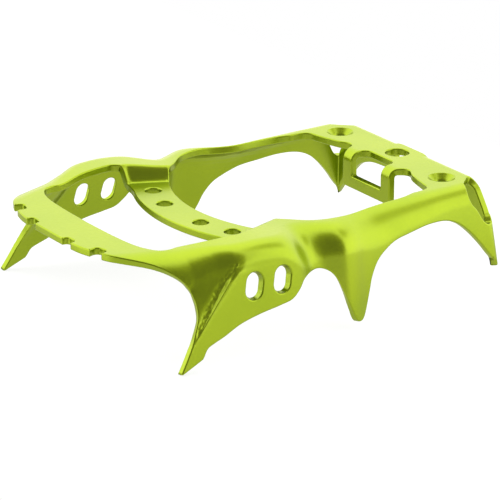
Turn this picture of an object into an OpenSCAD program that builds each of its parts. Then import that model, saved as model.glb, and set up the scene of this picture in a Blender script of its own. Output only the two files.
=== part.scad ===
// Front section of a walking crampon: one cold-formed aluminium forging that a boot's toe half
// stands on. It has a notched toe plate, a dropped bridge with four holes, a rear plate with two
// countersunk holes and a folded link bracket, two side rails, two slotted ears and six points.
// X is across the foot, Y runs from toe (-) to heel (+), Z is up. The points stand on Z = 0.

/* [Sheet] */
// Thickness of the formed sheet
sheet_t = 2.4; // [2:0.1:2.8]
// Outward lean of the side walls, degrees
wall_lean = 8; // [6:1:10]
// Height of the toe plate's top above the tips of the front points
plate_h = 31.9; // [31.2:0.1:33]

/* [Toe plate] */
// Width of each notch in the toe plate's front edge
notch_w = 4.6; // [3:0.1:5]
// Diameter of each bridge hole
bridge_hole_d = 5; // [4:0.1:6]

/* [Bridge] */
// Drop of the bridge's top below the toe plate's top
bridge_drop = 4; // [3:0.1:5]
// Radius of the arc that the bridge holes lie on
bridge_arc_r = 59; // [58.5:0.1:59.5]
// Width of the bridge along Y
bridge_w = 12.1; // [11.5:0.1:12.6]

/* [Rear plate] */
// Distance between the two countersunk holes
screw_pitch = 54.4; // [53:0.1:55.5]
// Diameter of each countersunk through hole
screw_hole_d = 4.5; // [4:0.1:5]
// Diameter of each countersink at the top
screw_sink_d = 8.6; // [8:0.1:9]
// Diameter of the middle hole
middle_hole_d = 7.6; // [6:0.1:8]

/* [Link bracket] */
// Width of the link bracket
bracket_w = 25; // [24:0.1:26]
// Width of the link bracket's window
window_w = 15.6; // [14:0.1:16]
// Depth of the link bracket below the plate's top
bracket_h = 12; // [11:0.1:13]

/* [Ears] */
// Width of each ear slot
slot_w = 5.8; // [5:0.1:6.4]
// Length of each ear slot
slot_l = 8.4; // [8:0.1:9.2]

/* [Hidden] */
$fn = 48;
lime = "#b4d62a";

// Where the object's own frame sits: the middle of its length at Y = 0, the tips at Z = 0
place_y = -2.7;

// Curve through a few [position, value] pairs, smooth at each pair
function seg(t, x, i = 0) = i >= len(t) - 2 || x < t[i + 1][0] ? i : seg(t, x, i + 1);
function slope(t, i) = i == 0 || i == len(t) - 1 ? 0
    : (t[i + 1][1] - t[i - 1][1]) / (t[i + 1][0] - t[i - 1][0]);
function hermite(u, a, b, ma, mb) =
    (2 * u^3 - 3 * u^2 + 1) * a + (u^3 - 2 * u^2 + u) * ma
    + (3 * u^2 - 2 * u^3) * b + (u^3 - u^2) * mb;
function curve(t, x) =
    let (c = max(t[0][0], min(t[len(t) - 1][0], x)), i = seg(t, c), w = t[i + 1][0] - t[i][0])
    hermite((c - t[i][0]) / w, t[i][1], t[i + 1][1], slope(t, i) * w, slope(t, i + 1) * w);

// Shape of the side wall along Y, all at the wall's outer skin
lean_run = tan(wall_lean);
ref_z = -10;
// [y, half width at ref_z]: the ear, the waist, the middle point's ridge and the slim rear rail
half_width = [[-31, 50], [-12, 50], [-8, 49.4], [-5, 48], [-2, 46.5], [2, 46.6], [5, 47.8],
    [8.5, 49.3], [13, 48.5], [16, 47.2], [20, 46.1], [26, 44.6], [35, 43.4], [45, 42.4],
    [55, 41.5], [72, 41.2]];
// [y, outer bend radius]: tight over the ear, wide at the waist
bend_radius = [[-46, 12], [-42, 10.5], [-31, 6.6], [-13, 6.6], [-8, 11], [-5, 14], [-2, 12.5],
    [3, 10], [15, 10.5], [20, 12], [26, 12], [35, 9.6], [42, 8.5], [52, 6.7], [72, 6]];
// [y, rise of the rail's top above the plates]: a low hump over the ear
rail_rise = [[-42, 0], [-35, 0.8], [-31, 1.2], [-22, 1.5], [-16, 1.2], [-8, 0.4], [-2, 0], [5, 0]];
// [y, inner edge of the rail from the centre]
rail_inner = [[-42, 33.2], [-35, 35.2], [-31, 36.3], [-22, 37.2], [-18, 36.8], [-12, 34.6],
    [-8, 32.4], [-4, 31], [-1, 31.4], [4, 35.8], [9, 37.8], [15, 38.2], [26, 35.8], [40, 34.7],
    [46, 33.2]];

// The crease between the ear's flat face and the gusset that turns in towards the toe plate
crease_top = [-31, -5];
crease_end = [-48.3, -24.6];
crease_step = 1.2;
gusset_turn = 0.4;
function crease_y(z) = crease_top[0]
    + (z - crease_top[1]) * (crease_end[0] - crease_top[0]) / (crease_end[1] - crease_top[1]);
fade_rate = 1.6;
function fade(z) = max(0, min(1, (z - crease_end[1]) / -crease_end[1] * fade_rate));
function wall_x(y, z) = curve(half_width, y) + lean_run * (ref_z - z)
    - (y < crease_y(z) ? fade(z) * (min(crease_step, (crease_y(z) - y) * crease_step / 2)
        + gusset_turn * (crease_y(z) - y)) : 0);

// Cross-section at y: flat top, bend, then the leaning wall. s is the distance along the skin
// from where the bend starts, and d is the depth below the outer skin.
bend_a = 90 - wall_lean;
function bend_r(y) = curve(bend_radius, y);
function top_z(y) = curve(rail_rise, y);
function tangent_z(y) = top_z(y) - bend_r(y) * (1 - cos(bend_a));
function bend_x(y) = wall_x(y, tangent_z(y)) - bend_r(y) * sin(bend_a);
function bend_s(y) = bend_r(y) * bend_a * PI / 180;
function wall_pt(y, z, d) = [wall_x(y, z) - d * sin(bend_a), y, z - d * cos(bend_a)];
function skin(y, s, d) =
    s < 0 ? [bend_x(y) + s, y, top_z(y) - d]
    : s <= bend_s(y) ?
        let (a = s / bend_r(y) * 180 / PI, r = bend_r(y))
        [bend_x(y) + (r - d) * sin(a), y, top_z(y) - r + (r - d) * cos(a)]
    : wall_pt(y, tangent_z(y) - (s - bend_s(y)) * sin(bend_a), d);
function s_at_z(y, z) = z > tangent_z(y)
    ? bend_r(y) * acos(1 + (z - top_z(y)) / bend_r(y)) * PI / 180
    : bend_s(y) + (tangent_z(y) - z) / sin(bend_a);
function s_inner(y) = let (q = curve(rail_inner, y) - bend_x(y))
    q < 0 ? (y > 40 ? 0 : q) : (y > 46 ? 0 : bend_r(y) * asin(q / bend_r(y)) * PI / 180);

// Lower edges of the walls, [y, z] at the outer skin
split_z = -5;
ear_front = -31;
ear_rear = -12;
rail_split = 27;
rail_end = 58;
mid_edge = [[-12, -17.2], [-8.8, -14.9], [-6.5, -12.7], [-2.7, -11.7], [0.5, -11.5], [3.6, -12.9],
    [5.2, -14.9], [6.9, -19], [9.5, -25.4], [10.8, -28.1], [12.2, -29.6], [14, -29.4],
    [15.8, -27.1], [18.1, -22], [19.8, -17.9], [22.7, -14.1], [27, -11.4]];
rear_edge = [[27, -11.4], [31, -9.8], [37, -8.9], [45, -8], [52, -8.5], [56.6, -10.4],
    [60.6, -13.7], [64.4, -18.3], [67.3, -22.8], [70.4, -26.9]];
// Upper edge of the rear point's side, which leaves the corner open above its ledge
corner_edge = [[58, 0], [60.3, -2.2], [62.4, -4.8], [64.4, -7.7], [66.4, -10.9], [68, -12.7],
    [70, -13.2]];

// Closed solid from two grids of points, outer skin and inner skin, with the same size
module shell(outer, inner) {
    n = len(outer);
    m = len(outer[0]);
    pts = concat([for (r = outer) each r], [for (r = inner) each r]);
    function o(i, j) = i * m + j;
    function q(i, j) = n * m + i * m + j;
    faces = concat(
        [for (i = [0:n - 2], j = [0:m - 2]) each
            [[o(i, j), o(i + 1, j), o(i + 1, j + 1)], [o(i, j), o(i + 1, j + 1), o(i, j + 1)],
            [q(i, j), q(i + 1, j + 1), q(i + 1, j)], [q(i, j), q(i, j + 1), q(i + 1, j + 1)]]],
        [for (i = [0:n - 2]) each
            [[o(i, 0), q(i, 0), q(i + 1, 0)], [o(i, 0), q(i + 1, 0), o(i + 1, 0)],
            [o(i, m - 1), q(i + 1, m - 1), q(i, m - 1)],
            [o(i, m - 1), o(i + 1, m - 1), q(i + 1, m - 1)]]],
        [for (j = [0:m - 2]) each
            [[o(0, j), q(0, j + 1), q(0, j)], [o(0, j), o(0, j + 1), q(0, j + 1)],
            [o(n - 1, j), q(n - 1, j), q(n - 1, j + 1)],
            [o(n - 1, j), q(n - 1, j + 1), o(n - 1, j + 1)]]]);
    polyhedron(pts, faces);
}
// Band of the skin between s0(y) and s1(y), given as lists beside the list of y stations
module band(ys, s0, s1, m) {
    function grid(d) = [for (i = [0:len(ys) - 1])
        [for (j = [0:m]) skin(ys[i], s0[i] + (s1[i] - s0[i]) * j / m, d)]];
    shell(grid(0), grid(sheet_t));
}
function steps(a, b, n) = [for (i = [0:n]) a + (b - a) * i / n];

// Flat plate in the plane of the ear, drawn in [y, z] at its outer skin
module ear_plane() {
    translate([wall_x(-20, 0), 0, 0]) rotate([0, -wall_lean, 0]) translate([-sheet_t, 0, 0])
        rotate([90, 0, 90]) linear_extrude(sheet_t) children();
}
function on_slope(pts) = [for (p = pts) [p[0], p[1] / cos(wall_lean)]];

module frame_place() { translate([0, place_y, plate_h]) children(); }
module left_side() { frame_place() mirror([1, 0, 0]) children(); }
module both_sides() { children(); mirror([1, 0, 0]) children(); }

// Closed outline from its right half, which starts and ends on the middle line
function both_halves(half) = concat(half,
    [for (i = [len(half) - 2:-1:1]) [-half[i][0], half[i][1]]]);

// ---- plates ----
toe_side = steps(-61.5, -42, 6);
// [x, y, turn in degrees] of each notch's round end, and how far its cutter reaches forward
notches = [[10.3, -65.6, 5], [22.9, -62.4, 16]];
notch_reach = 6;
module toe_plate() {
    half = concat([[0, -65.6], [6, -65.6], [16, -65.3], [23, -63.4]],
        [for (y = toe_side) [bend_x(y), y]],
        [[33.2, -42], [33.6, -44.8], [32.6, -47.4], [29.6, -49.4], [24.6, -50.8], [15, -51.7],
        [0, -52.1]]);
    color(lime) frame_place() translate([0, 0, -sheet_t]) linear_extrude(sheet_t)
        difference() {
            polygon(both_halves(half));
            both_sides() for (p = notches)
                translate([p[0], p[1]]) rotate(p[2]) {
                    circle(d = notch_w);
                    translate([-notch_w / 2, -notch_reach]) square([notch_w, notch_reach]);
                }
        }
}

bridge_c = 40;
bridge_end = 27.2;
module bridge() {
    color(lime) frame_place() translate([0, 0, -bridge_drop - sheet_t]) linear_extrude(sheet_t)
        difference() {
            intersection() {
                translate([0, bridge_c]) difference() {
                    circle(bridge_arc_r + bridge_w / 2, $fn = 180);
                    circle(bridge_arc_r - bridge_w / 2, $fn = 180);
                }
                translate([-bridge_end, -bridge_arc_r]) square([2 * bridge_end, bridge_arc_r]);
            }
            both_sides() for (a = bridge_hole_a)
                translate([bridge_arc_r * sin(a), bridge_c - bridge_arc_r * cos(a)])
                    circle(d = bridge_hole_d);
        }
}
// Angles of the bridge holes from the middle of the foot, about the bridge's own centre
bridge_hole_a = [9.9, 22.2];
function bridge_edge_y(r) = bridge_c - sqrt(r * r - bridge_end * bridge_end);
// Step that lifts each end of the bridge to the rail
module bridge_step() {
    ys = steps(bridge_edge_y(bridge_arc_r + bridge_w / 2),
        bridge_edge_y(bridge_arc_r - bridge_w / 2), 8);
    function grid(d) = [for (y = ys) [for (u = steps(0, 1, 8))
        [bridge_end + u * (curve(rail_inner, y) - bridge_end), y,
        -bridge_drop + (bridge_drop + top_z(y)) * (1 - cos(180 * u)) / 2 - d]]];
    shell(grid(0), grid(sheet_t));
}

rear_side = steps(46, 58, 4);
wing_y = 71;
wing_r = 3.6;
wing_x = 28;
screw_y = 60.5;
middle_hole_y = 63.4;
// How far a cutter runs past a face
over = 1;
module rear_plate() {
    half = concat([[0, wing_y - wing_r], [wing_x, wing_y - wing_r], [31.5, 66], [33.8, 63], [35, 60]],
        [for (i = [len(rear_side) - 1:-1:0]) [bend_x(rear_side[i]), rear_side[i]]],
        [[33.2, 46], [32.4, 50.6], [24, 53.2], [19, 54.6], [17.4, 56], [14, 56], [12.4, 54.4],
        [window_w / 2, 54.4], [window_w / 2, 57.2], [0, 57.2]]);
    color(lime) frame_place() difference() {
        union() {
            translate([0, 0, -sheet_t]) linear_extrude(sheet_t) polygon(both_halves(half));
            translate([0, wing_y - wing_r, 0]) both_sides() rear_lip();
        }
        translate([0, middle_hole_y, -sheet_t - over])
            cylinder(d = middle_hole_d, h = sheet_t + 2 * over);
        for (x = [-1, 1] * screw_pitch / 2) translate([x, screw_y, 0]) {
            translate([0, 0, -sheet_t - over]) cylinder(d = screw_hole_d, h = sheet_t + 2 * over);
            sink = (screw_sink_d - screw_hole_d) / 2;
            translate([0, 0, -sink]) cylinder(d1 = screw_hole_d, d2 = screw_sink_d, h = sink);
            cylinder(d = screw_sink_d, h = over);
        }
    }
}
// Straight rear edge between the two rear gussets
lip_x = 8.5;
lip_l = 2.6;
module rear_lip() { translate([0, 0, -sheet_t]) cube([lip_x, lip_l, sheet_t]); }

bracket_y = 51;
bracket_r = 3.4;
bar_z = -8;
module link_bracket() {
    leg_w = (bracket_w - window_w) / 2;
    color(lime) frame_place() {
        both_sides() translate([window_w / 2, bracket_y, 0]) {
            translate([0, bracket_r, -bracket_r]) mirror([0, 1, 0]) bend_strip(bracket_r, leg_w);
            translate([0, 0, bar_z]) cube([leg_w, sheet_t, -bracket_r - bar_z]);
        }
        translate([-bracket_w / 2, bracket_y, -bracket_h])
            cube([bracket_w, sheet_t, bracket_h + bar_z]);
    }
}
// Strip along X of width w, bent down a quarter turn with outer radius r
module bend_strip(r, w) {
    rotate([90, 0, 90]) linear_extrude(w) intersection() {
        difference() {
            circle(r);
            circle(r - sheet_t);
        }
        square(r);
    }
}

// ---- rails ----
module front_rail() {
    ys = concat(steps(-42, -31, 5), steps(-28, -14, 4), steps(-12, 27, 19));
    band(ys, [for (y = ys) s_inner(y)], [for (y = ys) s_at_z(y, split_z)], 8);
}
module rear_rail() {
    ys = steps(rail_split, rail_end, 14);
    band(ys, [for (y = ys) s_inner(y)], [for (y = ys) s_at_z(y, curve(rear_edge, y))], 10);
}

// ---- ears and points ----
// [y, z] of each ear slot's centre, and the turn of both in the ear's plane, degrees
ear_slots = [[-25.2, -10.5], [-15.2, -10.5]];
slot_turn = -12;
module ear() {
    outline = [[ear_front, split_z], [ear_front, -20.9], [-23.7, -19.2], [-16.3, -18.1],
        [ear_rear, -17.2], [ear_rear, split_z]];
    ear_plane() difference() {
        polygon(on_slope(outline));
        for (p = ear_slots) translate(on_slope([p])[0]) rotate(slot_turn) ear_slot();
    }
}
module ear_slot() {
    reach = (slot_l - slot_w) / 2;
    for (q = [-1, 1]) translate([0, q * reach]) circle(d = slot_w);
    square([slot_w, slot_l - slot_w], center = true);
}
// The tip's inner corner is the lowest point, because the wall leans
tip_z = sheet_t * sin(wall_lean) - plate_h;
module front_point() {
    outline = [crease_top, crease_end, [-51.2, -28.6], [-52.9, tip_z + 0.1], [-51.9, tip_z],
        [-44.8, -28.5], [-43.6, -26.6], [-41.6, -25], [-37, -23.4], [ear_front, -20.9]];
    ear_plane() polygon(on_slope(outline));
}
// Web that turns in from the ear's crease and rolls over into the toe plate
gusset_front = [[-61.5, 0], [-60.4, 0.2], [-58.7, 0.8], [-53.7, 1.6], [-50.6, 3.2], [-47.6, 5.4],
    [-45.8, 7.5], [-44.5, 10.2], [-44.2, 13], [-44.9, 16.8], [-46.3, 19.8], [-48.3, 24]];
module toe_gusset() {
    top = s_at_z(-42, split_z);
    back = concat([for (u = steps(0, 1, 4)) [-42, u * top]],
        [for (y = [-38.3, -34.6]) [y, s_at_z(y, split_z)]],
        [for (z = steps(split_z, crease_end[1] + 0.6, 4)) [crease_y(z), s_at_z(crease_y(z), z)]]);
    front = [for (p = gusset_front) [p[0], s_at_z(p[0], -p[1])]];
    function mix(i, u) = back[i] + (front[i] - back[i]) * u;
    function grid(d) = [for (u = steps(1, 0, 8))
        [for (i = [0:len(back) - 1]) let (p = mix(i, u)) skin(p[0], p[1], d)]];
    shell(grid(0), grid(sheet_t));
}
module mid_point() {
    ys = [-12, -10.4, -8.8, -6.5, -4.6, -2.7, -1, 0.5, 2, 3.6, 5.2, 6.9, 8.2, 9.5, 10.8, 12.2, 14,
        15.8, 18.1, 19.8, 22.7, 25, 27];
    band(ys, [for (y = ys) s_at_z(y, split_z)], [for (y = ys) s_at_z(y, lookup(y, mid_edge))], 6);
}
module rear_point() {
    ys = steps(rail_end, wing_y - sheet_t, 8);
    band(ys, [for (y = ys) y == rail_end ? 0 : s_at_z(y, min(0, curve(corner_edge, y)))],
        [for (y = ys) s_at_z(y, curve(rear_edge, y))], 6);
}
// Second leg of the rear point's L section, folded down from the rear plate's edge
module rear_gusset() {
    outer = function(z) wall_x(wing_y, z);
    color(lime) {
        translate([0, wing_y, 0]) rotate([90, 0, 0]) linear_extrude(sheet_t)
            polygon([[lip_x, -wing_r], [wing_x, -wing_r], [33.4, -4.2], [36.6, -6.6], [39.4, -10],
                [outer(-12.8), -12.8], [outer(-26.9), -26.9], [41.8, -26.6], [39.4, -23.6],
                [35, -19.2], [31.2, -15.4], [28, -12.9], [24, -11.2], [20.4, -10.3], [12, -9.8],
                [lip_x, -9.5]]);
        translate([lip_x, wing_y - wing_r, -wing_r]) bend_strip(wing_r, wing_x - lip_x);
    }
}

module left_bridge_step() { color(lime) left_side() bridge_step(); }
module right_bridge_step() { color(lime) frame_place() bridge_step(); }
module left_front_rail() { color(lime) left_side() front_rail(); }
module right_front_rail() { color(lime) frame_place() front_rail(); }
module left_rear_rail() { color(lime) left_side() rear_rail(); }
module right_rear_rail() { color(lime) frame_place() rear_rail(); }
module left_ear() { color(lime) left_side() ear(); }
module right_ear() { color(lime) frame_place() ear(); }
module left_front_point() { color(lime) left_side() front_point(); }
module right_front_point() { color(lime) frame_place() front_point(); }
module left_toe_gusset() { color(lime) left_side() toe_gusset(); }
module right_toe_gusset() { color(lime) frame_place() toe_gusset(); }
module left_mid_point() { color(lime) left_side() mid_point(); }
module right_mid_point() { color(lime) frame_place() mid_point(); }
module left_rear_point() { color(lime) left_side() rear_point(); }
module right_rear_point() { color(lime) frame_place() rear_point(); }
module left_rear_gusset() { left_side() rear_gusset(); }
module right_rear_gusset() { frame_place() rear_gusset(); }

toe_plate();
bridge();
left_bridge_step();
right_bridge_step();
rear_plate();
link_bracket();
left_front_rail();
right_front_rail();
left_rear_rail();
right_rear_rail();
left_ear();
right_ear();
left_front_point();
right_front_point();
left_toe_gusset();
right_toe_gusset();
left_mid_point();
right_mid_point();
left_rear_point();
right_rear_point();
left_rear_gusset();
right_rear_gusset();
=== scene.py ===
"""Looks of the crampon's front section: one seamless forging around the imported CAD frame.

Lengths are millimetres in the design frame until they become mesh points. The design frame has its
origin in the plane of the plates' top, X across the foot and Y from toe (-) to heel (+).
"""
import math

import bpy
import numpy as np
from mathutils import Matrix, Vector, noise
from mathutils.geometry import delaunay_2d_cdt


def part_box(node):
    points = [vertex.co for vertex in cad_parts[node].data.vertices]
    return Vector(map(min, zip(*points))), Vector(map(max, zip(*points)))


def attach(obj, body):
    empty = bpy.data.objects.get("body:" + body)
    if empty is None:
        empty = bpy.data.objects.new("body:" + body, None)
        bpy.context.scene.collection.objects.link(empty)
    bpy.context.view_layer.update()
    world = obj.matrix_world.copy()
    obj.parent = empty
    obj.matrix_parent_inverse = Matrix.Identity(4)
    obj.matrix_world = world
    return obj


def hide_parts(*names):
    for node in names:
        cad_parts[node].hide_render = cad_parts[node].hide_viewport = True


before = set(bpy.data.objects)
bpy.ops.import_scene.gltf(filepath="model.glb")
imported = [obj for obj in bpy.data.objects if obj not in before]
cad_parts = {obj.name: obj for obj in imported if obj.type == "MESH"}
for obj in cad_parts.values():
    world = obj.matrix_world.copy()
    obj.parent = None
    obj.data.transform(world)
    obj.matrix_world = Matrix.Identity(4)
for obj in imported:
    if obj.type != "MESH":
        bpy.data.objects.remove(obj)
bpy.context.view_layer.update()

MM = 0.001

# ---- driving dimensions, the same as the CAD source ----
SHEET = 2.4
LEAN = math.radians(8)
BEND = math.pi / 2 - LEAN
REF_Z = -10
TOE_FRONT = -65.6
HALF_WIDTH = [[-31, 50], [-12, 50], [-8, 49.4], [-5, 48], [-2, 46.5], [2, 46.6], [5, 47.8],
              [8.5, 49.3], [13, 48.5], [16, 47.2], [20, 46.1], [26, 44.6], [35, 43.4], [45, 42.4],
              [55, 41.5], [72, 41.2]]
BEND_RADIUS = [[-46, 12], [-42, 10.5], [-31, 6.6], [-13, 6.6], [-8, 11], [-5, 14], [-2, 12.5],
               [3, 10], [15, 10.5], [20, 12], [26, 12], [35, 9.6], [42, 8.5], [52, 6.7], [72, 6]]
RAIL_RISE = [[-42, 0], [-35, 0.8], [-31, 1.2], [-22, 1.5], [-16, 1.2], [-8, 0.4], [-2, 0], [5, 0]]
RAIL_INNER = [[-42, 33.2], [-35, 35.2], [-31, 36.3], [-22, 37.2], [-18, 36.8], [-12, 34.6],
              [-8, 32.4], [-4, 31], [-1, 31.4], [4, 35.8], [9, 37.8], [15, 38.2], [26, 35.8],
              [40, 34.7], [46, 33.2]]
CREASE_TOP, CREASE_END = (-31, -5), (-48.3, -24.6)
GUSSET_TURN = 0.4
BRIDGE_C, BRIDGE_R, BRIDGE_W, BRIDGE_DROP = 40, 59, 12.1, 4
BRIDGE_HOLE_R = 2.5
BRIDGE_HOLES = [math.radians(9.9), math.radians(22.2)]
NOTCHES = [(10.3, -65.6, math.radians(5)), (22.9, -62.4, math.radians(16))]
NOTCH_R = 2.3
SCREW = (27.2, 60.5)
SCREW_R, SINK_R = 2.25, 4.3
MIDDLE_Y, MIDDLE_R = 63.4, 3.8
BRACKET_TOP_Y, BRACKET_BEND_R = 54.4, 3.4
BRACKET_X, WINDOW_X = 12.5, 7.8
BAR_TOP, BAR_BOTTOM = -8, -12
REAR_BEND_Y, REAR_BEND_R = 67.4, 3.6
LIP_Y = 70
SLOTS = [(-25.2, -10.5), (-15.2, -10.5)]
SLOT_R, SLOT_REACH, SLOT_TURN = 2.9, 1.3, math.radians(12)

# ---- looks that differ from the CAD source or aren't in it ----
EDGE_R = 0.48
SLOT_DRAFT = 0.45
# notches: depth behind the centre, corner radius, and how near the toe edge is searched for them
NOTCH_DEPTH, NOTCH_CORNER, NOTCH_NEAR = 2.1, 1.5, 5
# start and radius of the rear points' upright folds
FOLD_Y, FOLD_R = 68.2, 2.8
# lean of those folds: amount, height it starts at, height it takes, and where along Y
TIP_LEAN, TIP_LEAN_TOP, TIP_LEAN_RUN = 1.2, -12, 14
TIP_LEAN_Y, TIP_LEAN_BLEND = 56, 12
# the crease is soft above SHARP_Z and sharp below it, with a shallow valley beside its step
SHARP_Z, SHARP_RUN, SHARP_SPREAD = -4.6, 1.4, 0.9
CREASE_STEP, CREASE_WIDE, CREASE_FADE = 1.3, 0.4, 1.6
SOFT_WIDE, SOFT_BACK = 8, 3
SOFT_ROUND, SHARP_ROUND = 3, 1.2
VALLEY, VALLEY_AT, VALLEY_WIDE = 0.28, 1.4, 1.5
COIN_DEPTH, COIN_START, COIN_END = 0.25, 0.05, 3
# hammer marks: depth, spacing of the fold lines, and the part of the bend and of Y they cover
HAMMER_DEPTH, HAMMER_FOLD = 0.10, 2.4
HAMMER_FROM, HAMMER_TO, HAMMER_TOE_Y, HAMMER_HEEL_Y = 0.35, 1.25, -40, 56
# the ramps from the bridge to the rails: width, line of their middles, and their stretch of Y
BRIDGE_RAMP = 4.3
RAMP_X, RAMP_Y, RAMP_SLOPE, RAMP_X_MAX = 33, -15.5, 0.483, 33.5
BRIDGE_FROM, BRIDGE_TO = -26, 2
# how far across the plate each bend reaches, and how softly it ends
BRACKET_REACH, BRACKET_BLEND, BRACKET_FROM = 15.4, 1.6, 35
REAR_BEND_X, REAR_BEND_BLEND, REAR_BEND_END_X = 6.9, 1.4, 45

# ---- mesh density ----
STEP = 0.62
FINE = 0.36
EDGE_CLEAR = EDGE_R + 0.3
CURVE_STEP, KERNEL = 0.1, 40
FOLD_ROWS, FOLD_TURNS = 22, 8
CREASE_ROWS = (-0.15, 0, 0.1, 0.2, 0.3, 0.4, 0.55)
ROW_TOP, ROW_STEP, ROW_CLEAR = -3.4, 0.32, 0.35
FINE_CENTRE, FINE_HALF = 1.5, 3.5
OFF_CREASE, OFF_BLANK = 99, 500


# ---- small curve tools ----
def smooth(x):
    """Smooth step from 0 to 1."""
    x = np.clip(x, 0, 1)
    return x * x * (3 - 2 * x)


def table_curve(table, blur=1.3):
    """Function through a [position, value] table, with its bends eased over about blur."""
    t = np.asarray(table, float)
    px, pv = t[:, 0], t[:, 1]
    m = np.zeros(len(t))
    m[1:-1] = (pv[2:] - pv[:-2]) / (px[2:] - px[:-2])
    grid = np.arange(-75, 80, CURVE_STEP)
    x = np.clip(grid, px[0], px[-1])
    i = np.clip(np.searchsorted(px, x, side="right") - 1, 0, len(t) - 2)
    w = px[i + 1] - px[i]
    u = (x - px[i]) / w
    v = ((2 * u**3 - 3 * u**2 + 1) * pv[i] + (u**3 - 2 * u**2 + u) * m[i] * w
         + (3 * u**2 - 2 * u**3) * pv[i + 1] + (u**3 - u**2) * m[i + 1] * w)
    k = np.exp(-0.5 * (np.arange(-KERNEL, KERNEL + 1) * CURVE_STEP / blur) ** 2)
    pad = np.pad(v, KERNEL, mode="edge")
    v = np.convolve(pad, k / k.sum(), mode="valid")
    return lambda y: np.interp(y, grid, v)


half_width = table_curve(HALF_WIDTH)
bend_radius = table_curve(BEND_RADIUS, 2.0)
rail_rise = table_curve(RAIL_RISE, 2.0)
rail_inner = table_curve(RAIL_INNER, 0.8)


def spline(points, step=STEP):
    """Even points along a centripetal Catmull-Rom curve, from the first point to the last."""
    p = np.asarray(points, float)
    q = np.vstack([2 * p[0] - p[1], p, 2 * p[-1] - p[-2]])
    out = []
    for a, b, c, d in zip(q, q[1:], q[2:], q[3:]):
        t1 = np.linalg.norm(b - a) ** 0.5
        t2 = t1 + np.linalg.norm(c - b) ** 0.5
        t3 = t2 + np.linalg.norm(d - c) ** 0.5
        t = np.linspace(t1, t2, 24, endpoint=False)[:, None]
        a1 = (t1 - t) / t1 * a + t / t1 * b
        a2 = (t2 - t) / (t2 - t1) * b + (t - t1) / (t2 - t1) * c
        a3 = (t3 - t) / (t3 - t2) * c + (t - t2) / (t3 - t2) * d
        b1 = (t2 - t) / t2 * a1 + t / t2 * a2
        b2 = (t3 - t) / (t3 - t1) * a2 + (t - t1) / (t3 - t1) * a3
        out.append((t2 - t) / (t2 - t1) * b1 + (t - t1) / (t2 - t1) * b2)
    return even(np.vstack(out + [p[-1:]]), step)


def even(p, step=STEP):
    """Even points along a polyline, from its first point to its last."""
    p = np.asarray(p, float)
    d = np.concatenate([[0], np.cumsum(np.linalg.norm(np.diff(p, axis=0), axis=1))])
    n = max(1, int(round(d[-1] / step)))
    s = np.linspace(0, d[-1], n + 1)
    return np.column_stack([np.interp(s, d, p[:, 0]), np.interp(s, d, p[:, 1])])


def polyline(points, step=STEP):
    """Even points along each straight stretch, with every corner kept."""
    out = [even([a, b], step)[:-1] for a, b in zip(points, points[1:])]
    return np.vstack(out + [np.asarray(points[-1:], float)])


def arc(cx, cy, r, a0, a1, step=STEP):
    """Even points round a circle's centre, from angle a0 to a1."""
    n = max(4, int(math.ceil(abs(a1 - a0) * r / step)))
    a = np.linspace(a0, a1, n + 1)
    return np.column_stack([cx + r * np.cos(a), cy + r * np.sin(a)])


def chain(*runs):
    """One closed loop from runs that follow each other, without repeated points."""
    p = np.vstack(runs)
    gap = np.linalg.norm(p - np.roll(p, 1, axis=0), axis=1)
    return p[gap > 0.02]


# ---- the formed skin: (u, y) of the flat blank to a point on the outer face ----
def crease_y(z):
    """Where the crease crosses a height."""
    slope = (CREASE_END[0] - CREASE_TOP[0]) / (CREASE_END[1] - CREASE_TOP[1])
    return CREASE_TOP[0] + (z - CREASE_TOP[1]) * slope


def wall_x(y, z, soft=False):
    """Half width of the side wall. soft leaves out the sharp step beside the crease."""
    t = crease_y(z) - y
    fade = np.clip((z - CREASE_END[1]) / -CREASE_END[1] * CREASE_FADE, 0, 1)
    run = SHARP_RUN + SHARP_SPREAD * np.maximum(t, 0)
    sharp = 0 if soft else smooth((SHARP_Z - z) / run)
    wide = SOFT_WIDE + (CREASE_WIDE - SOFT_WIDE) * sharp
    start = -SOFT_BACK * (1 - sharp)
    step = CREASE_STEP * smooth((t - start) / wide)
    step = step + VALLEY * sharp * np.exp(-((t - VALLEY_AT) / VALLEY_WIDE) ** 2)
    round_off = SOFT_ROUND + (SHARP_ROUND - SOFT_ROUND) * sharp
    turn = GUSSET_TURN * (t + np.sqrt(t * t + round_off**2)) / 2
    turn -= GUSSET_TURN * round_off**2 / 4 / (np.abs(t) + round_off)
    return half_width(y) + math.tan(LEAN) * (REF_Z - z) - fade * (step + np.maximum(turn, 0))


def tangent_z(y):
    """Height where the bend ends and the straight wall starts."""
    return rail_rise(y) - bend_radius(y) * (1 - math.cos(BEND))


def bend_x(y, soft=False):
    """How far across the plate the bend starts."""
    return wall_x(y, tangent_z(y), soft) - bend_radius(y) * math.sin(BEND)


def bend_s(y):
    """Length of the bend along the sheet."""
    return bend_radius(y) * BEND


def s_at_z(y, z):
    """Distance along the sheet from the bend's start down to a height."""
    r = bend_radius(y)
    on_bend = r * np.arccos(np.clip(1 + (z - rail_rise(y)) / r, -1, 1))
    on_wall = bend_s(y) + (tangent_z(y) - z) / math.sin(BEND)
    return np.where(z > tangent_z(y), on_bend, on_wall)


def blank(points):
    """[y, z] points of the wall to [u, y] points of the blank."""
    p = np.asarray(points, float)
    return np.column_stack([bend_x(p[:, 0]) + s_at_z(p[:, 0], p[:, 1]), p[:, 0]])


def bridge_height(x, y):
    """Height of the sunken bridge and of the ramps that climb from it to the rails."""
    centre = np.minimum(RAMP_X - RAMP_SLOPE * (y - RAMP_Y), RAMP_X_MAX)
    lift = smooth((x - centre) / BRIDGE_RAMP + 0.5)
    return -BRIDGE_DROP + lift * (BRIDGE_DROP + rail_rise(y))


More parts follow.
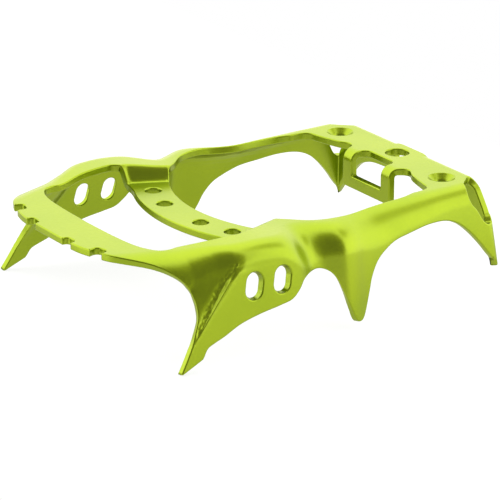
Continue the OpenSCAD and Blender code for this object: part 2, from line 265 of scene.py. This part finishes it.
def fold(t, r):
    """Run and drop after distance t along a strip that bends down a quarter turn."""
    a = np.clip(t / r, 0, math.pi / 2)
    past = np.maximum(t - r * math.pi / 2, 0)
    return r * np.sin(a), r * (1 - np.cos(a)) + past


def form(p, soft=False):
    """Points of the blank's right half to points on the part's outer face."""
    u, y = p[:, 0], p[:, 1]
    r = bend_radius(y)
    s = u - bend_x(y, soft)
    a = np.clip(s, 0, None) / r
    zt, past = tangent_z(y), s - bend_s(y)
    z_wall = zt - past * math.sin(BEND)
    x = np.where(s < 0, u, bend_x(y, soft) + r * np.sin(a))
    z = np.where(s < 0, rail_rise(y), rail_rise(y) - r * (1 - np.cos(a)))
    x = np.where(past > 0, wall_x(y, z_wall, soft), x)
    z = np.where(past > 0, z_wall, z)
    on_bridge = (y > BRIDGE_FROM) & (y < BRIDGE_TO) & (s < 0)
    z = np.where(on_bridge, bridge_height(u, y), z)
    run, drop = fold(BRACKET_TOP_Y - y, BRACKET_BEND_R)
    w = 1 - smooth((u - BRACKET_REACH) / BRACKET_BLEND)
    w = w * ((y < BRACKET_TOP_Y) & (y > BRACKET_FROM))
    yy = np.where(w > 0, y + w * (BRACKET_TOP_Y - run - y), y)
    z = z - w * drop
    run, drop = fold(y - REAR_BEND_Y, REAR_BEND_R)
    w = smooth((u - REAR_BEND_X) / REAR_BEND_BLEND)
    w = w * ((y > REAR_BEND_Y) & (u < REAR_BEND_END_X))
    yy = np.where(w > 0, y + w * (REAR_BEND_Y + run - y), yy)
    x = np.where(y > REAR_BEND_Y + 0.01, np.where(w > 0, u, x), x)
    z = np.where(w > 0, -w * drop, z)
    yy = yy + tip_lean(z) * smooth((yy - TIP_LEAN_Y) / TIP_LEAN_BLEND)
    return np.column_stack([x, yy, z])


def tip_lean(z):
    """How far the rear points' folds lean back towards their tips."""
    return TIP_LEAN * np.clip((TIP_LEAN_TOP - z) / TIP_LEAN_RUN, 0, 1)


# ---- outline of the blank ----
def notched(path):
    """Cuts each round-ended notch into the toe edge."""
    for cx, cy, turn in NOTCHES:
        rot = np.array([[math.cos(turn), -math.sin(turn)], [math.sin(turn), math.cos(turn)]])
        local = (path - (cx, cy)) @ rot
        cut = np.where((np.abs(local[:, 0]) < NOTCH_R) & (np.abs(local[:, 1]) < NOTCH_NEAR))[0]
        before, after = path[:cut[0]], path[cut[-1] + 1:]
        near = local[cut[0] - 2:cut[-1] + 3]
        mouth = [np.interp(x, near[:, 0], near[:, 1]) for x in (-NOTCH_R, NOTCH_R)]
        corner, depth = NOTCH_CORNER, NOTCH_DEPTH
        u_shape = np.vstack([
            even([[-NOTCH_R, mouth[0]], [-NOTCH_R, depth - corner]], FINE),
            arc(-NOTCH_R + corner, depth - corner, corner, math.pi, math.pi / 2, FINE)[1:],
            even([[corner - NOTCH_R, depth], [NOTCH_R - corner, depth]], FINE)[1:-1],
            arc(NOTCH_R - corner, depth - corner, corner, math.pi / 2, 0, FINE),
            even([[NOTCH_R, depth - corner], [NOTCH_R, mouth[1]]], FINE)[1:]])
        path = np.vstack([before, u_shape @ rot.T + (cx, cy), after])
    return path


def fold_top(angle):
    """Height where the rear fold starts, at an angle round it from flange to gusset."""
    flange, rise = -12.8, 2.3
    return flange + rise * smooth((angle - 0.7) / 0.87)


def fold_bottom(angle):
    """Height of the rear point's edge, at an angle round the fold from flange to gusset."""
    flange, tip, gusset = -24.0, -26.9, -25.2
    to_tip, to_gusset = smooth(angle / 0.9), smooth((angle - 1.15) / 0.42)
    return flange + (tip - flange) * to_tip + (gusset - tip) * to_gusset


def fold_column(angle):
    """[x, y, z] points down the rear point's vertical fold, at one angle round it."""
    z = np.linspace(fold_top(angle), fold_bottom(angle), FOLD_ROWS + 1)
    x = wall_x(np.full_like(z, FOLD_Y), z) - FOLD_R * (1 - math.cos(angle))
    return np.column_stack([x, np.full_like(z, FOLD_Y + FOLD_R * math.sin(angle)), z])


def gusset_v(z):
    """Blank position of a height on the rear gusset, past the rear bend."""
    return REAR_BEND_Y + REAR_BEND_R * math.pi / 2 - REAR_BEND_R - np.asarray(z, float)


def middle_edges():
    """The middle line and the openings' edges it meets, from the rear lip to the toe."""
    middle = arc(0, MIDDLE_Y, MIDDLE_R, math.pi / 2, -math.pi / 2, FINE)
    v_bar = BRACKET_TOP_Y - BRACKET_BEND_R * math.pi / 2 + BRACKET_BEND_R
    window = np.vstack([
        even([[0, 57.2], [4.9, 57.2]]), arc(4.9, 54.3, 2.9, math.pi / 2, 0, FINE),
        even([[WINDOW_X, 54.3], [WINDOW_X, v_bar + BAR_TOP + 0.5]]),
        arc(WINDOW_X - 0.5, v_bar + BAR_TOP + 0.5, 0.5, 0, -math.pi / 2, 0.2),
        even([[WINDOW_X - 0.5, v_bar + BAR_TOP], [0, v_bar + BAR_TOP]])])
    low = v_bar + BAR_BOTTOM
    leg = np.vstack([
        even([[0, low], [BRACKET_X - 0.6, low]]),
        arc(BRACKET_X - 0.6, low + 0.6, 0.6, -math.pi / 2, 0, 0.2),
        even([[BRACKET_X, low + 0.6], [BRACKET_X, 50.4]]),
        spline([[BRACKET_X, 50.4], [12.6, 52.3], [13.2, 54.3], [14.2, 55.7], [15.8, 56.3],
                [17.5, 55.7], [19.2, 54.7], [23.5, 53.4], [28, 52.3], [31.0, 51.6], [32.5, 50.4],
                [33.1, 48.6], [33.4, 46]])])
    ys = np.linspace(45, 1.2, 22)
    rail = spline(np.column_stack([rail_inner(ys) + inner_shift(ys), ys]))
    rear_r, front_r = BRIDGE_R - BRIDGE_W / 2, BRIDGE_R + BRIDGE_W / 2
    top = -math.pi / 2
    rear_arc = arc(0, BRIDGE_C, rear_r, top + math.asin(28.6 / rear_r), top)
    join = spline([rail[-1], [31.6, -0.6], rear_arc[0]])
    front_arc = arc(0, BRIDGE_C, front_r, top, top + math.asin(26 / front_r))
    meet = spline([front_arc[-1], [29.4, -18.6], [32.4, -18.2], [34.6, -18.35], [36.1, -19.1],
                   [36.95, -20.6]])
    ys = np.linspace(-21.6, -42, 12)
    ahead = spline(np.vstack([meet[-1:], np.column_stack([rail_inner(ys), ys])]))
    behind_toe = spline([ahead[-1], [33.5, -44.8], [32.6, -47.3], [29.6, -49.3], [24.6, -50.8],
                         [15, -51.7], [0, -52.1]])
    return [even([[0, LIP_Y], [0, MIDDLE_Y + MIDDLE_R]]), middle,
            even([[0, MIDDLE_Y - MIDDLE_R], [0, 57.2]]), window,
            even([[0, v_bar + BAR_TOP], [0, low]]), leg, rail, join, rear_arc,
            even([rear_arc[-1], front_arc[0]]), front_arc, meet, ahead, behind_toe,
            even([[0, -52.1], [0, TOE_FRONT]])]


def outline():
    """The blank's right half as one loop, and where its two fold edges lie on it."""
    toe = [[0, TOE_FRONT], [6, -65.6], [16, -65.2], [23, -63.4]]
    front = [[-61.5, -0.02], [-60.1, -0.25], [-57.3, -0.85], [-53.9, -1.75], [-50.6, -3.2],
             [-47.6, -5.4], [-45.8, -7.5], [-44.5, -10.2], [-44.2, -13], [-44.9, -16.8],
             [-46.3, -19.8], [-48.3, -24.0], [-51.2, -28.9], [-52.8, -31.4]]
    toe_edge = notched(spline(np.vstack([toe, blank(front)])))
    tip = blank(polyline([[-52.8, -31.4], [-52.3, -31.56], [-51.9, -31.5], [-44.9, -28.5]]))
    ear = [[-44.9, -28.5], [-44.2, -27.6], [-43.5, -26.4], [-42.6, -25.5], [-41, -24.8],
           [-37, -23.4], [-31, -20.9], [-23.7, -19.2], [-16.3, -18.1], [-12, -17.2]]
    middle_point = [[-8.8, -14.9], [-6.5, -12.7], [-2.7, -11.7], [0.5, -11.5], [3.6, -12.9],
                    [5.2, -14.9], [6.9, -19], [9.5, -25.4], [10.8, -28.3], [11.7, -29.4],
                    [13, -29.75], [14.3, -29.2], [15.8, -27.1], [18.1, -22], [19.8, -17.9]]
    rear = [[22.7, -14.1], [27, -11.4], [31, -9.8], [37, -8.9], [45, -8], [52, -8.5],
            [56.6, -10.4], [60.6, -13.7], [64.4, -18.3], [67.0, -22.3], [FOLD_Y, fold_bottom(0)]]
    lower_edge = blank(spline(ear + middle_point + rear))
    seam_a = fold_column(0)
    flange_edge = np.column_stack([bend_x(seam_a[:, 1]) + s_at_z(seam_a[:, 1], seam_a[:, 2]),
                                   seam_a[:, 1]])[::-1]
    corner = spline(blank([[FOLD_Y, fold_top(0)], [66.6, -11.4], [64.4, -7.7], [62.4, -5.2],
                           [61.7, -3.2], [61.9, -1.5], [62.5, -0.5], [63.1, -0.03]]))
    plate_corner = spline([corner[-1], [33.4, 64.7], [32.2, 66.1], [30.9, 67.5],
                           [30.4, 68.9], [30.8, 70.2], [31.9, 71.5], [33.8, 73.3],
                           [35.8, float(gusset_v(-6.5))], [38.0, float(gusset_v(-9.6))],
                           [wall_x(FOLD_Y, fold_top(math.pi / 2)) - FOLD_R,
                            float(gusset_v(fold_top(math.pi / 2)))]])
    seam_b = fold_column(math.pi / 2)
    gusset_edge = np.column_stack([seam_b[:, 0], gusset_v(seam_b[:, 2])])
    lower = [[35, -19.2], [31.2, -15.4], [28, -12.9], [24, -11.2], [20.4, -10.3], [12, -9.8],
             [9.3, -9.5]]
    under = spline([gusset_edge[-1]] + [[x, float(gusset_v(z))] for x, z in lower])
    lip = np.vstack([
        spline([[9.3, float(gusset_v(-9.5))], [8.6, float(gusset_v(-8.9))], [8.5, 76.5], [8.5, 72],
                [8.45, 70.9], [8.0, 70.0], [7.1, 69.6], [6.2, 69.8], [5.2, LIP_Y]]),
        even([[5.2, LIP_Y], [0, LIP_Y]])])
    loop = chain(toe_edge, tip, lower_edge, flange_edge, corner, plate_corner, gusset_edge, under,
                 lip, *middle_edges())
    return loop, flange_edge, gusset_edge


def inner_shift(y):
    """How much longer the blank is than the plan where the rail's inner edge is on the bend."""
    over = rail_inner(y) - bend_x(y)
    r = bend_radius(y)
    return np.where(over > 0, r * np.arcsin(np.clip(over / r, 0, 1)) - over, 0)


def holes():
    """Closed loops of the holes in the right half: bridge, countersunk screw and ear slots."""
    out = []
    full = 2 * math.pi
    for a in BRIDGE_HOLES:
        cx, cy = BRIDGE_R * math.sin(a), BRIDGE_C - BRIDGE_R * math.cos(a)
        out.append(arc(cx, cy, BRIDGE_HOLE_R, 0, full, FINE)[:-1])
    out.append(arc(*SCREW, SINK_R, 0, full, FINE)[:-1])
    for y, z in SLOTS:
        ends = np.vstack([arc(0, SLOT_REACH, SLOT_R, 0, math.pi, FINE),
                          arc(0, -SLOT_REACH, SLOT_R, math.pi, full, FINE)])
        ends = polyline(np.vstack([ends, ends[:1]]).tolist(), FINE)[:-1]
        c, s = math.cos(SLOT_TURN), math.sin(SLOT_TURN)
        yz = np.column_stack([ends[:, 0] * c + ends[:, 1] * s, -ends[:, 0] * s + ends[:, 1] * c])
        out.append(blank(yz * (1, math.cos(LEAN)) + (y, z)))
    return out


def inside(points, loops):
    """Even-odd test of points against closed loops."""
    hit = np.zeros(len(points), bool)
    x, y = points[:, 0], points[:, 1]
    for loop in loops:
        for a, b in zip(loop, np.roll(loop, -1, axis=0)):
            if a[1] == b[1]:
                continue
            cross = ((a[1] > y) != (b[1] > y))
            at = a[0] + (y - a[1]) * (b[0] - a[0]) / (b[1] - a[1])
            hit ^= cross & (x < at)
    return hit


def hex_grid(step):
    """Evenly spaced points over the whole of the blank's right half."""
    ys = np.arange(-66, 98, step * math.sqrt(3) / 2)
    xs = np.arange(0, 75, step)
    rows = [np.column_stack([xs + (k % 2) * step / 2, np.full_like(xs, y)])
            for k, y in enumerate(ys)]
    return np.vstack(rows)


def crease_distance(p):
    """How far in front of the crease a wall point of the blank is, or a large number off it."""
    s = p[:, 0] - bend_x(p[:, 1])
    z = tangent_z(p[:, 1]) - (s - bend_s(p[:, 1])) * math.sin(BEND)
    t = crease_y(z) - p[:, 1]
    top, past_end, back = -3, 1.5, -27
    on = (z < top) & (z > CREASE_END[1] - past_end) & (p[:, 1] < back)
    return np.where(on, t, OFF_CREASE)


def wants_fine(ahead):
    """Which distances in front of the crease lie in the finely meshed band."""
    return np.abs(ahead - FINE_CENTRE) < FINE_HALF


def half_mesh():
    """Triangles of the blank's right half, with where the loop's fold edges are."""
    loop, seam_a, seam_b = outline()
    loops = [loop] + holes()
    edge_pts = np.vstack(loops)
    coarse, fine = hex_grid(STEP), hex_grid(FINE)
    coarse = coarse[~wants_fine(crease_distance(coarse))]
    ahead = crease_distance(fine)
    on_step = (ahead > CREASE_ROWS[0] - ROW_CLEAR) & (ahead < CREASE_ROWS[-1] + ROW_CLEAR)
    fine = fine[wants_fine(ahead) & ~on_step]
    grid = np.vstack([coarse, fine])
    grid = grid[inside(grid, loops)]
    gap, some = np.full(len(grid), np.inf), 200
    for k in range(0, len(edge_pts), some):
        d = np.linalg.norm(grid[:, None] - edge_pts[None, k:k + some], axis=2)
        gap = np.minimum(gap, d.min(1))
    grid = grid[gap > EDGE_CLEAR]
    rows, row_edges = [], []
    first = len(edge_pts) + len(grid)
    for t in CREASE_ROWS:
        z = np.arange(ROW_TOP, CREASE_END[1], -ROW_STEP)
        row = blank(np.column_stack([crease_y(z) - t, z]))
        gap = np.linalg.norm(row[:, None] - edge_pts[None], axis=2).min(1)
        row = row[inside(row, loops) & (gap > EDGE_CLEAR)]
        row_edges += [(first + i, first + i + 1) for i in range(len(row) - 1)]
        rows.append(row)
        first += len(row)
    pts = np.vstack([edge_pts, grid] + rows)
    edges, start = row_edges, 0
    for one in loops:
        n = len(one)
        edges += [(start + i, start + (i + 1) % n) for i in range(n)]
        start += n
    out = delaunay_2d_cdt([Vector(p) for p in pts], edges, [], 0, 1e-6)
    verts = np.array([tuple(v) for v in out[0]])
    tris = np.array([tuple(f) for f in out[2]])
    keep = inside(verts[tris].mean(1), loops)
    return verts, tris[keep], seam_a, seam_b


def match(verts, points):
    """Index of the vertex nearest to each point."""
    return [int(np.argmin(((verts - p) ** 2).sum(1))) for p in points]


def sheet():
    """Outer face of the whole part: sharp points, soft points, triangles and blank points."""
    verts, tris, seam_a, seam_b = half_mesh()
    sharp, soft = form(verts), form(verts, soft=True)
    rows_a = match(verts, seam_a[::-1])
    rows_b = match(verts, seam_b)
    columns = [rows_a]
    extra = []
    for k in range(1, FOLD_TURNS):
        column = fold_column(math.pi / 2 * k / FOLD_TURNS)
        column[:, 1] += tip_lean(column[:, 2])
        first = len(verts) + len(extra)
        columns.append(list(range(first, first + len(column))))
        extra += column.tolist()
    columns.append(rows_b)
    strip = []
    for a, b in zip(columns, columns[1:]):
        for i in range(FOLD_ROWS):
            strip += [(a[i], b[i], b[i + 1]), (a[i], b[i + 1], a[i + 1])]
    tris = orient(np.vstack([tris, np.array(strip)]))
    sharp, soft = np.vstack([sharp, extra]), np.vstack([soft, extra])
    flat = np.vstack([verts, np.full((len(extra), 2), OFF_BLANK)])
    on_middle = np.abs(sharp[:, 0]) < 1e-6
    twin = np.arange(len(sharp))
    twin[~on_middle] = len(sharp) + np.arange((~on_middle).sum())
    flip = np.array([-1, 1, 1])
    sharp = np.vstack([sharp, sharp[~on_middle] * flip])
    soft = np.vstack([soft, soft[~on_middle] * flip])
    flat = np.vstack([flat, flat[~on_middle]])
    return sharp, soft, np.vstack([tris, twin[tris][:, ::-1]]), flat


def orient(tris):
    """Turns every triangle the same way round by walking across shared edges."""
    by_edge = {}
    for i, t in enumerate(tris):
        for a, b in ((t[0], t[1]), (t[1], t[2]), (t[2], t[0])):
            by_edge.setdefault((min(a, b), max(a, b)), []).append((i, a < b))
    tris = tris.copy()
    turned = np.zeros(len(tris), int)
    turned[0] = 1
    queue = [0]
    while queue:
        i = queue.pop()
        t = tris[i]
        for a, b in ((t[0], t[1]), (t[1], t[2]), (t[2], t[0])):
            for j, _ in by_edge[(min(a, b), max(a, b))]:
                if not turned[j]:
                    turned[j] = 1
                    s = tris[j].tolist()
                    if (a, b) in ((s[0], s[1]), (s[1], s[2]), (s[2], s[0])):
                        tris[j] = s[::-1]
                    queue.append(j)
    if not turned.all():
        raise ValueError("the sheet is in more than one piece")
    return tris


def normals(points, tris):
    """Unit normal at each point, from the triangles round it weighted by area."""
    a, b, c = (points[tris[:, k]] for k in range(3))
    face = np.cross(b - a, c - a)
    out = np.zeros_like(points)
    for k in range(3):
        np.add.at(out, tris[:, k], face)
    return out / np.linalg.norm(out, axis=1)[:, None].clip(1e-12)


def unit(v):
    """Vectors scaled to length 1."""
    return v / np.linalg.norm(v, axis=-1, keepdims=True).clip(1e-12)


def rough(points, size, seed):
    """Smooth noise from -1 to 1 at each point."""
    return np.array([noise.noise(Vector(p) / size + Vector((seed, 0, 0))) for p in points])


def rim_edges(tris):
    """Directed edges that only one triangle has."""
    e = np.vstack([tris[:, [0, 1]], tris[:, [1, 2]], tris[:, [2, 0]]])
    known = set(map(tuple, e.tolist()))
    return [(a, b) for a, b in e.tolist() if (b, a) not in known]


def ease(points, tris, flat):
    """Softens the line where the bend runs into the wall ahead of the crease."""
    reach, blend, back, passes, pull = 2.6, 1.6, -30, 20, 0.6
    y = flat[:, 1]
    past = flat[:, 0] - bend_x(y) - bend_s(y)
    weight = smooth((reach - np.abs(past)) / blend) * smooth((back - y) / 4)
    weight *= flat[:, 0] < OFF_BLANK
    weight[[a for a, _ in rim_edges(tris)]] = 0
    e = np.vstack([tris[:, [0, 1]], tris[:, [1, 2]], tris[:, [2, 0]]])
    count = np.bincount(e[:, 0], minlength=len(points)).clip(1)[:, None]
    for _ in range(passes):
        total = np.zeros_like(points)
        np.add.at(total, e[:, 0], points[e[:, 1]])
        points = points + (pull * weight)[:, None] * (total / count - points)
    return points


def coin(verts, flat):
    """Rough die marks on the crease's step and in the valley beside it."""
    verts = verts.copy()
    t = crease_distance(flat)
    band = np.where((t > COIN_START) & (t < COIN_END))[0]
    level = smooth((t[band] - COIN_START) / 0.2) * smooth((COIN_END - t[band]) / 2.4)
    bump = rough(verts[band], 0.8, 3) + 0.8 * rough(verts[band], 0.42, 9)
    verts[band, 0] += np.sign(verts[band, 0]) * COIN_DEPTH * level * bump
    return verts


def hammer(verts, out, flat):
    """Shallow fold lines and hammer marks along the inside of the rails' bends."""
    verts = verts.copy()
    y = flat[:, 1]
    s = flat[:, 0] - bend_x(y)
    along, blend = s / bend_s(y), 0.2
    level = smooth((along - HAMMER_FROM) / blend) * smooth((HAMMER_TO - along) / blend)
    level *= smooth((y - HAMMER_TOE_Y) / 8) * smooth((HAMMER_HEEL_Y - y) / 6)
    level *= flat[:, 0] < OFF_BLANK
    band = np.where(level > 0)[0]
    marks = 0.7 * rough(verts[band] * (1, 0.55, 1), 1.6, 21) + 0.45 * rough(verts[band], 0.8, 27)
    folds = 0.35 * np.sin(2 * math.pi * (s[band] + 0.5 * marks) / HAMMER_FOLD)
    verts[band] -= out[band] * (HAMMER_DEPTH * level[band] * (marks + folds))[:, None]
    return verts


def rim_frame(points, n, rim):
    """The rim's points and, at each, the way out of the sheet and the mitre of its corner."""
    after = dict(rim)
    before = {b: a for a, b in rim}
    ids = np.array(sorted(after))
    p = points[ids]
    ahead = unit(points[[after[i] for i in ids]] - p)
    back = unit(p - points[[before[i] for i in ids]])
    side_a, side_b = unit(np.cross(ahead, n[ids])), unit(np.cross(back, n[ids]))
    out = unit(side_a + side_b)
    return ids, out, 1 / np.clip((out * side_a).sum(1), 0.7, 1)[:, None]


def slot_rim(p):
    """Which rim points belong to the ear slots."""
    hit = np.zeros(len(p), bool)
    for y, z in SLOTS:
        away = np.hypot(p[:, 1] - y, p[:, 2] - z)
        hit |= (away < SLOT_R + SLOT_REACH + 0.4) & (np.abs(p[:, 0]) > 40)
    return hit


def rounded_rings(top, base, n, out, miter):
    """Rings from the outer face to the inner face around a rim with two rounded edges."""
    rings, shades = [], []
    quarter = np.linspace(0, math.pi / 2, 5)
    r = EDGE_R
    for a in quarter:
        rings.append(top - r * miter * out * (1 - math.sin(a)) - n * r * (1 - math.cos(a)))
        shades.append(n * math.cos(a) + out * math.sin(a))
    for a in quarter:
        rings.append(base - r * miter * out * (1 - math.cos(a)) + n * r * (1 - math.sin(a)))
        shades.append(-n * math.sin(a) + out * math.cos(a))
    return rings, shades


def countersink(p, rings, shades):
    """Gives the rims of the screw holes a cone and a short straight wall, in place."""
    hit = np.hypot(np.abs(p[:, 0]) - SCREW[0], p[:, 1] - SCREW[1]) < SINK_R + 0.1
    centre = np.column_stack([np.sign(p[:, 0]) * SCREW[0], np.full(len(p), SCREW[1])])
    ray = unit(p[:, :2] - centre)
    up = np.array([0, 0, 1.0])
    cone = unit(np.column_stack([-ray, np.ones(len(p))]))
    wall = np.column_stack([-ray, np.zeros(len(p))])
    brim = 0.12
    # radius, height and normal of each ring, from the plate's top to its underside
    profile = [
        (SINK_R + brim, 0, unit(cone + up)),
        (SINK_R, -brim, cone),
        (SINK_R - 0.68, -0.8, cone),
        (SINK_R - 1.36, -1.45, cone),
        (SCREW_R + 0.02, -2.03, unit(cone + wall)),
        (SCREW_R, -2.1, wall),
        (SCREW_R, -2.2, wall),
        (SCREW_R, -SHEET + brim, wall),
        (SCREW_R + 0.03, -SHEET + 0.03, unit(wall - up)),
        (SCREW_R + brim, -SHEET, np.tile(-up, (len(p), 1)))]
    for ring, shade, (radius, z, n) in zip(rings, shades, profile):
        ring[hit] = np.column_stack([centre + ray * radius, np.full(len(p), z)])[hit]
        shade[hit] = n[hit]


def forging():
    """The closed solid: outer face, inner face and the rounded rims that join them."""
    outer, soft, tris, flat = sheet()
    outer, soft = ease(outer, tris, flat), ease(soft, tris, flat)
    outer = coin(outer, flat)
    n_out, n_soft = normals(outer, tris), normals(soft, tris)
    toe_middle = np.argmin(np.abs(outer - (0, -58, 0)).sum(1))
    if n_out[toe_middle][2] < 0:
        tris = tris[:, ::-1]
        n_out, n_soft = -n_out, -n_soft
    inner = hammer(soft - SHEET * n_soft, n_soft, flat)
    n_in = -normals(inner, tris)
    rim = rim_edges(tris)
    ids, out, miter = rim_frame(outer, n_soft, rim)
    top, base, n = outer[ids], inner[ids], n_soft[ids]
    base[slot_rim(top)] += (SLOT_DRAFT * out)[slot_rim(top)]
    rings, shades = rounded_rings(top, base, n, out, miter)
    countersink(top, rings, shades)
    outer[ids], inner[ids], n_in[ids] = rings[0], rings[-1], -n
    count, m, last = len(outer), len(ids), len(rings) - 1
    spot = {int(i): k for k, i in enumerate(ids)}

    def at(level, i):
        """Vertex of rim point i on one ring: the faces' own on the first and last."""
        if level in (0, last):
            return i if level == 0 else count + i
        return 2 * count + (level - 1) * m + spot[i]

    quads = [(at(k, b), at(k, a), at(k + 1, a), at(k + 1, b)) for a, b in rim for k in range(last)]
    return (np.vstack([outer, inner] + rings[1:-1]), np.vstack([n_out, n_in] + shades[1:-1]),
            np.vstack([tris, tris[:, ::-1] + count]), quads)


def to_row(points):
    """Design millimetres to row metres, placed on the toe plate's packed box."""
    low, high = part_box("toe_plate")
    shift = np.array([0, low.y / MM - TOE_FRONT, high.z / MM])
    return (points + shift) * MM


def make_forging():
    verts, shades, tris, quads = forging()
    mesh = bpy.data.meshes.new("forging")
    mesh.from_pydata(to_row(verts).tolist(), [], tris.tolist() + quads)
    mesh.validate()
    for poly in mesh.polygons:
        poly.use_smooth = True
    mesh.normals_split_custom_set_from_vertices(unit(shades).tolist())
    obj = bpy.data.objects.new("forging", mesh)
    bpy.context.scene.collection.objects.link(obj)
    return obj


# ---- material ----
def anodised():
    mat = bpy.data.materials.new("lime_anodised")
    mat.use_nodes = True
    nt = mat.node_tree
    nt.nodes.clear()
    new, link = nt.nodes.new, nt.links.new
    out = new("ShaderNodeOutputMaterial")
    bsdf = new("ShaderNodeBsdfPrincipled")
    link(bsdf.outputs[0], out.inputs["Surface"])
    bsdf.inputs["Metallic"].default_value = 1.0
    bsdf.inputs["Specular Tint"].default_value = (0.62, 0.62, 0.28, 1)
    bsdf.inputs["Coat Weight"].default_value = 0.45
    bsdf.inputs["Coat Roughness"].default_value = 0.22
    coord = new("ShaderNodeTexCoord")
    fine = new("ShaderNodeTexNoise")
    fine.inputs["Scale"].default_value = 900
    fine.inputs["Detail"].default_value = 4
    broad = new("ShaderNodeTexNoise")
    broad.inputs["Scale"].default_value = 45
    broad.inputs["Detail"].default_value = 3
    for tex in (fine, broad):
        link(coord.outputs["Object"], tex.inputs["Vector"])
    tint = new("ShaderNodeValToRGB")
    tint.color_ramp.elements[0].position = 0.3
    tint.color_ramp.elements[0].color = (0.245, 0.335, 0.001, 1)
    tint.color_ramp.elements[1].position = 0.7
    tint.color_ramp.elements[1].color = (0.285, 0.37, 0.003, 1)
    link(broad.outputs["Fac"], tint.inputs["Fac"])
    link(tint.outputs["Color"], bsdf.inputs["Base Color"])
    rough_map = new("ShaderNodeMapRange")
    rough_map.inputs["To Min"].default_value = 0.27
    rough_map.inputs["To Max"].default_value = 0.40
    link(fine.outputs["Fac"], rough_map.inputs["Value"])
    link(rough_map.outputs["Result"], bsdf.inputs["Roughness"])
    bump = new("ShaderNodeBump")
    bump.inputs["Strength"].default_value = 0.12
    bump.inputs["Distance"].default_value = 0.0002
    link(fine.outputs["Fac"], bump.inputs["Height"])
    link(bump.outputs["Normal"], bsdf.inputs["Normal"])
    return mat


# ---- stage ----
CAMERA_AT = (767.98, -510.70, 325.20)
CAMERA_YAW, CAMERA_PITCH = math.radians(33.974), math.radians(20.521)
LENS = 228.27
WALL_LIGHT = 2.35
# darker patches of the studio: way round, rise, cosines where each starts and is full, strength
SHOT_SIDE = (math.radians(-42), math.radians(25), 0.42, 0.62, 0.33)
SEAM = (math.radians(71), math.radians(50), 0.955, 0.99, 1.0)
# half width, toe end and heel end of the floor slab, in metres
FLOOR = (0.6, -0.14, 0.15)


def make_camera():
    data = bpy.data.cameras.new("camera")
    data.lens = LENS
    data.sensor_width = 36
    data.clip_end = 20
    cam = bpy.data.objects.new("camera", data)
    b, e = CAMERA_YAW, CAMERA_PITCH
    right = Vector((math.sin(b), math.cos(b), 0))
    back = Vector((math.cos(e) * math.cos(b), -math.cos(e) * math.sin(b), math.sin(e)))
    up = back.cross(right)
    turn = Matrix((right, up, back)).transposed().to_4x4()
    cam.matrix_world = Matrix.Translation(to_row(np.array(CAMERA_AT))) @ turn
    bpy.context.scene.collection.objects.link(cam)
    bpy.context.scene.camera = cam


def make_floor():
    mesh = bpy.data.meshes.new("floor")
    half_x, toe_y, heel_y = FLOOR
    mesh.from_pydata([(-half_x, toe_y, 0), (half_x, toe_y, 0), (half_x, heel_y, 0),
                      (-half_x, heel_y, 0)], [], [(0, 1, 2, 3)])
    floor = bpy.data.objects.new("floor", mesh)
    bpy.context.scene.collection.objects.link(floor)
    mat = bpy.data.materials.new("pale_floor")
    mat.use_nodes = True
    bsdf = mat.node_tree.nodes["Principled BSDF"]
    bsdf.inputs["Base Color"].default_value = (0.22, 0.22, 0.22, 1)
    bsdf.inputs["Roughness"].default_value = 0.9
    bsdf.inputs["Specular IOR Level"].default_value = 0.0
    bsdf.inputs["Emission Color"].default_value = (1, 1, 1, 1)
    bsdf.inputs["Emission Strength"].default_value = 0.8
    mesh.materials.append(mat)


def light_patch(nt, coord, way, rise, start, full, level):
    """Wall strength that falls to level as a direction's cosine to the patch nears full."""
    facing = nt.nodes.new("ShaderNodeVectorMath")
    facing.operation = "DOT_PRODUCT"
    facing.inputs[1].default_value = (
        math.cos(way) * math.cos(rise), math.sin(way) * math.cos(rise), math.sin(rise))
    nt.links.new(coord.outputs["Generated"], facing.inputs[0])
    dim = nt.nodes.new("ShaderNodeMapRange")
    dim.interpolation_type = "SMOOTHSTEP"
    dim.inputs["From Min"].default_value = start
    dim.inputs["From Max"].default_value = full
    dim.inputs["To Min"].default_value = WALL_LIGHT
    dim.inputs["To Max"].default_value = level
    nt.links.new(facing.outputs["Value"], dim.inputs["Value"])
    return dim.outputs["Result"]


def make_light():
    """A white studio: bright all round, dim where the camera stands and by one ceiling seam."""
    world = bpy.data.worlds.new("studio")
    world.use_nodes = True
    nt = world.node_tree
    new, link = nt.nodes.new, nt.links.new
    coord = new("ShaderNodeTexCoord")
    least = new("ShaderNodeMath")
    least.operation = "MINIMUM"
    for spot, patch in enumerate((SHOT_SIDE, SEAM)):
        link(light_patch(nt, coord, *patch), least.inputs[spot])
    walls = nt.nodes["Background"]
    walls.inputs["Color"].default_value = (1, 1, 1, 1)
    link(least.outputs["Value"], walls.inputs["Strength"])
    backdrop = new("ShaderNodeBackground")
    backdrop.inputs["Color"].default_value = (1, 1, 1, 1)
    path = new("ShaderNodeLightPath")
    mix = new("ShaderNodeMixShader")
    link(path.outputs["Is Camera Ray"], mix.inputs[0])
    link(walls.outputs[0], mix.inputs[1])
    link(backdrop.outputs[0], mix.inputs[2])
    link(mix.outputs[0], nt.nodes["World Output"].inputs["Surface"])
    bpy.context.scene.world = world


make_camera()
piece = make_forging()
piece.data.materials.append(anodised())
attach(piece, "root")
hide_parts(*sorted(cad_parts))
make_floor()
make_light()
bpy.context.scene.view_settings.view_transform = "Standard"
